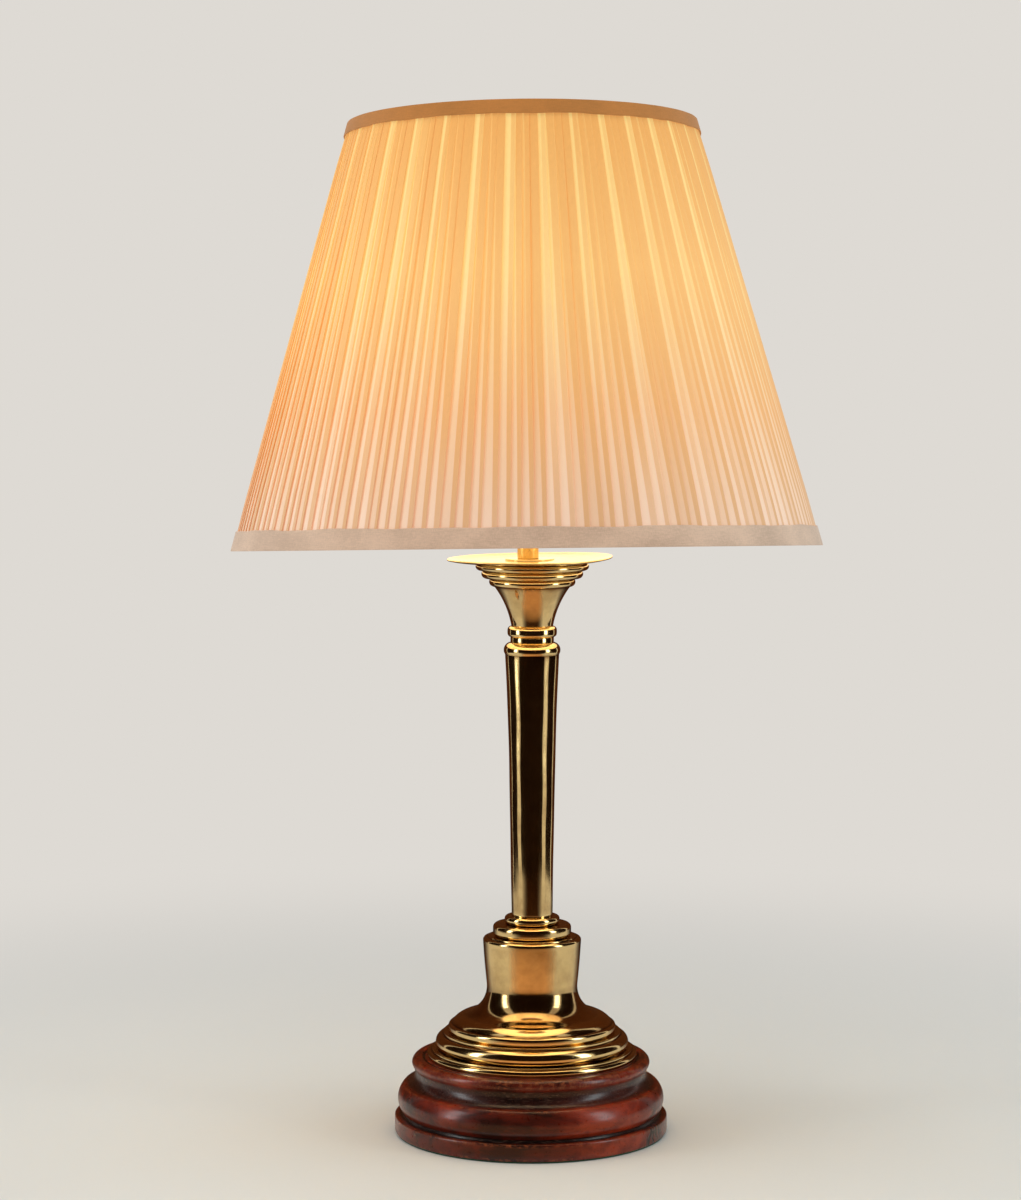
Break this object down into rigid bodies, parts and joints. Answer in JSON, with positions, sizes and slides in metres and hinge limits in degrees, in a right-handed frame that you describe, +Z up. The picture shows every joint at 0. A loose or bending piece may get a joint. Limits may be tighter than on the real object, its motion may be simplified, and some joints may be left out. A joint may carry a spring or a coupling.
{
  "type": "candlestick lamp",
  "caption": "Table lamp shaped as a brass candlestick on a turned wooden base, with a pleated fabric shade that tilts in a gimbal above a drip pan.",
  "frame": {"origin": "centre of the base's underside, on the stem's axis", "axes": "+Z up along the stem, -Y towards the front as pictured, +X to the right; the shade tilts about +X"},
  "size_m": [0.3312, 0.3305, 0.5788],
  "materials": {
    "mahogany": "French polished",
    "aged_brass": "polished, aged",
    "bright_brass": "satin",
    "steel": "zinc plated",
    "felt": "pressed felt",
    "bakelite": "moulded",
    "porcelain": "glazed",
    "silk": "pleated silk",
    "lining": "plain lining silk",
    "trim": "satin binding",
    "white_wire": "coated wire",
    "opal_glass": "opal",
    "nickel": "plain",
    "wire_brown": "insulation",
    "wire_blue": "insulation",
    "wire_green": "insulation",
    "tungsten": "drawn wire"
  },
  "bodies": {
    "stand": {"base_felt": "felt", "wood_base": "mahogany", "cord_inlet_bushing": "bright_brass", "rod_washer": "steel", "earth_tag": "bright_brass", "rod_nut": "steel", "threaded_rod": "steel", "terminal_block": "porcelain", "terminal_screws": "bright_brass", "live_wire": "wire_brown", "neutral_wire": "wire_blue", "earth_wire": "wire_green", "foot_flange": "aged_brass", "foot_bell": "aged_brass", "foot_collar": "aged_brass", "stem": "aged_brass", "neck_collar": "aged_brass", "cup": "aged_brass", "drip_pan": "aged_brass", "spacer_tube": "bright_brass", "holder_cap": "bright_brass", "holder_core": "bakelite", "holder_terminals": "bright_brass", "centre_contact": "bright_brass", "screw_liner": "bright_brass", "holder_sleeve": "porcelain", "holder_skirt": "bright_brass", "carrier_seat": "bright_brass", "carrier_wires": "bright_brass", "carrier_head": "bright_brass"},
    "lower_ring": {"lower_clamp_ring": "bright_brass"},
    "upper_ring": {"upper_clamp_ring": "bright_brass"},
    "switch": {"switch_bar": "bakelite"},
    "bulb": {"bulb_glass": "opal_glass", "bulb_cap": "nickel", "bulb_insulator": "bakelite", "bulb_contact": "bright_brass", "bulb_stem": "opal_glass", "filament": "tungsten"},
    "clamp_nut": {"head_nut": "bright_brass"},
    "gimbal": {"gimbal_fitting": "bright_brass"},
    "shade": {"pivot_pins": "bright_brass", "shade_top_ring": "white_wire", "shade_bottom_ring": "white_wire", "shade_struts": "white_wire", "gimbal_arms": "white_wire", "shade_lining": "lining", "shade_cover": "silk", "bottom_trim": "trim", "top_trim": "trim"}
  },
  "joints": [
    {"name": "lower_ring_turn", "type": "hinge", "parent": "stand", "child": "lower_ring", "pos_m": [-0.00286, 0, 0.39399], "axis": [-0.0077, 0, 1], "range_deg": [0, 720]},
    {"name": "upper_ring_turn", "type": "hinge", "parent": "stand", "child": "upper_ring", "pos_m": [-0.00291, 0, 0.39999], "axis": [-0.0077, 0, 1], "range_deg": [0, 720]},
    {"name": "switch_push", "type": "slide", "parent": "stand", "child": "switch", "axis": [1, 0, 0.0077], "range_m": [-0.004, 0]},
    {"name": "bulb_draw", "type": "slide", "parent": "stand", "child": "bulb", "axis": [-0.0077, 0, 1], "range_m": [0, 0.026]},
    {"name": "clamp_nut_turn", "type": "hinge", "parent": "stand", "child": "clamp_nut", "pos_m": [-0.00525, 0, 0.52297], "axis": [-0.0105, 0, 0.9999], "range_deg": [0, 720]},
    {"name": "shade_turn", "type": "hinge", "parent": "stand", "child": "gimbal", "pos_m": [-0.00525, 0, 0.52297], "axis": [-0.0105, 0, 0.9999], "continuous": true},
    {"name": "shade_tilt", "type": "hinge", "parent": "gimbal", "child": "shade", "pos_m": [-0.00551, 0, 0.54797], "axis": [0.9999, 0, 0.0105], "range_deg": [-8.3, 15.7]}
  ]
}
